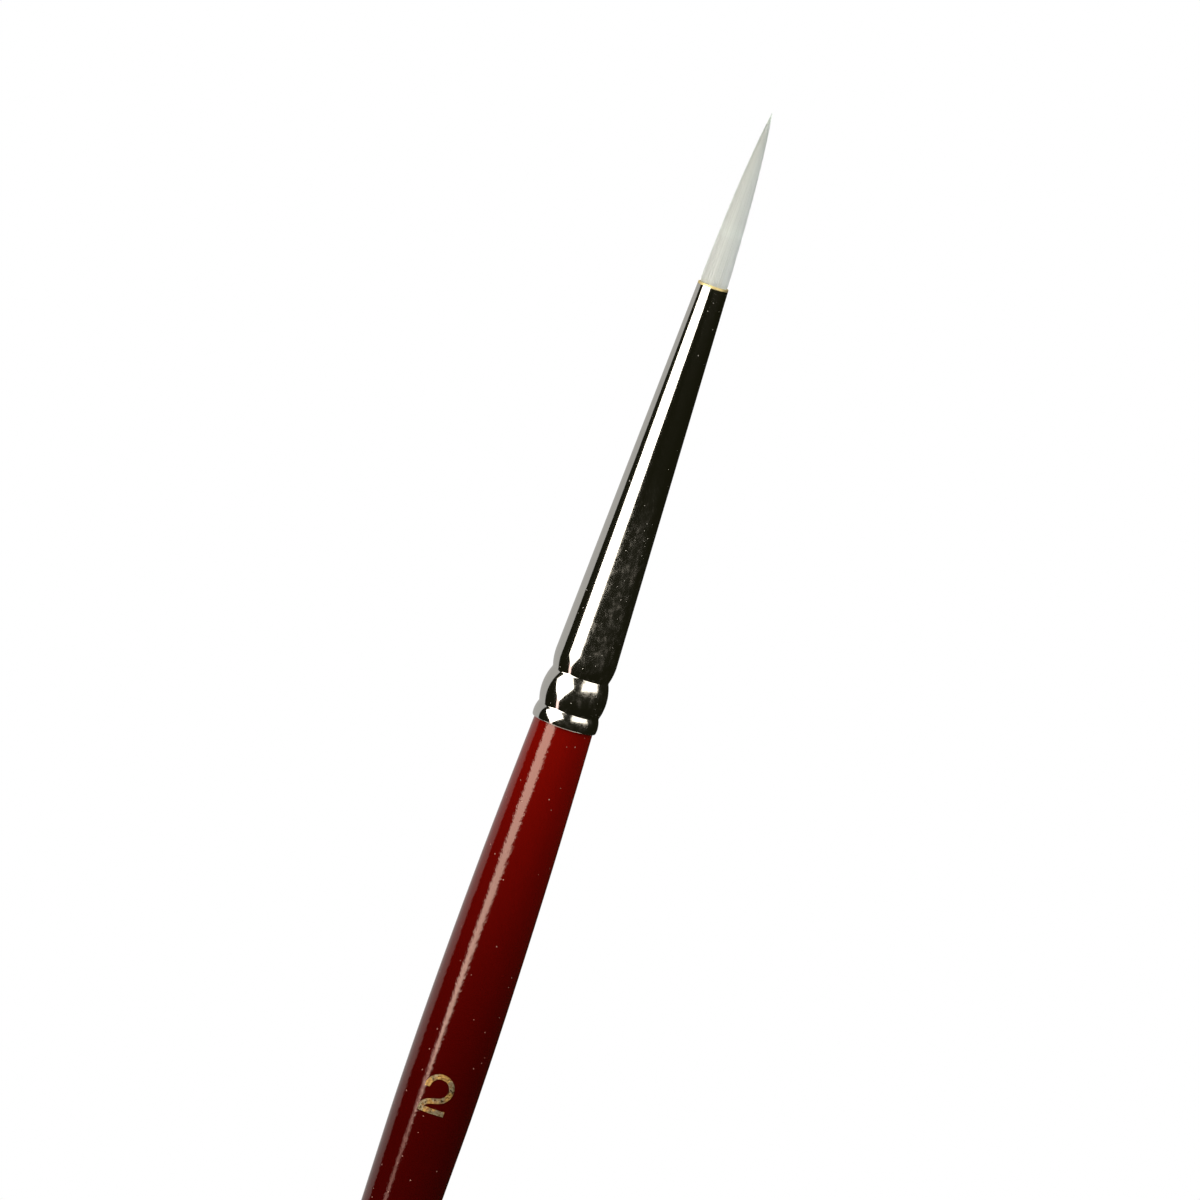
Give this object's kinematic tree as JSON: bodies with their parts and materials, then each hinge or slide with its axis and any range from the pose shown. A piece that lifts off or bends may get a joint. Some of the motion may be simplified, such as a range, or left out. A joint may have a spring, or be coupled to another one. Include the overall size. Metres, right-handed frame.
{
  "type": "fine detail brush",
  "caption": "Small round brush with a pointed white tuft in a crimped conical metal ferrule, on a slim dark red lacquered handle that swells where the fingers rest.",
  "frame": {"origin": "middle of the handle's belly, on the brush's axis: the middle of the handle_grip mount", "axes": "+Z along the axis from the tail to the tuft's point; -Y towards the side with the size number; +X to the right when facing that number with the tuft up"},
  "size_m": [0.0054, 0.0054, 0.185],
  "materials": {
    "handle_wood": "fine-grained turned birch, bare under its lacquer and as a tenon in the ferrule",
    "red_lacquer": "dipped dark red lacquer, high gloss with a slight orange peel",
    "gold_foil": "hot-stamped gold foil, a little worn",
    "ferrule_metal": "seamless drawn brass, bright nickel plated; the cut rim at the mouth shows brass",
    "glue": "set epoxy, amber",
    "thread": "white tying thread",
    "filament": "off-white synthetic filament with a soft sheen"
  },
  "bodies": {
    "handle_and_ferrule": {"handle_core": "handle_wood", "handle_lacquer": "red_lacquer", "size_number": "gold_foil", "ferrule": "ferrule_metal", "tenon_glue": "glue", "root_glue": "glue", "binding_thread": "thread", "tuft_root": "filament"},
    "tuft_belly": {"tuft_belly": "filament"},
    "tuft_point": {"tuft_point": "filament"}
  },
  "joints": [
    {"name": "tuft_side_bend", "type": "hinge", "parent": "handle_and_ferrule", "child": "tuft_belly", "pos_m": [0, 0, 0.05625], "axis": [0, 1, 0], "range_deg": [-35, 35], "stiffness_Nm_per_rad": 0.002},
    {"name": "tuft_point_bend", "type": "hinge", "parent": "tuft_belly", "child": "tuft_point", "pos_m": [0, 0, 0.06145], "axis": [1, 0, 0], "range_deg": [-35, 35], "stiffness_Nm_per_rad": 0.0006}
  ]
}
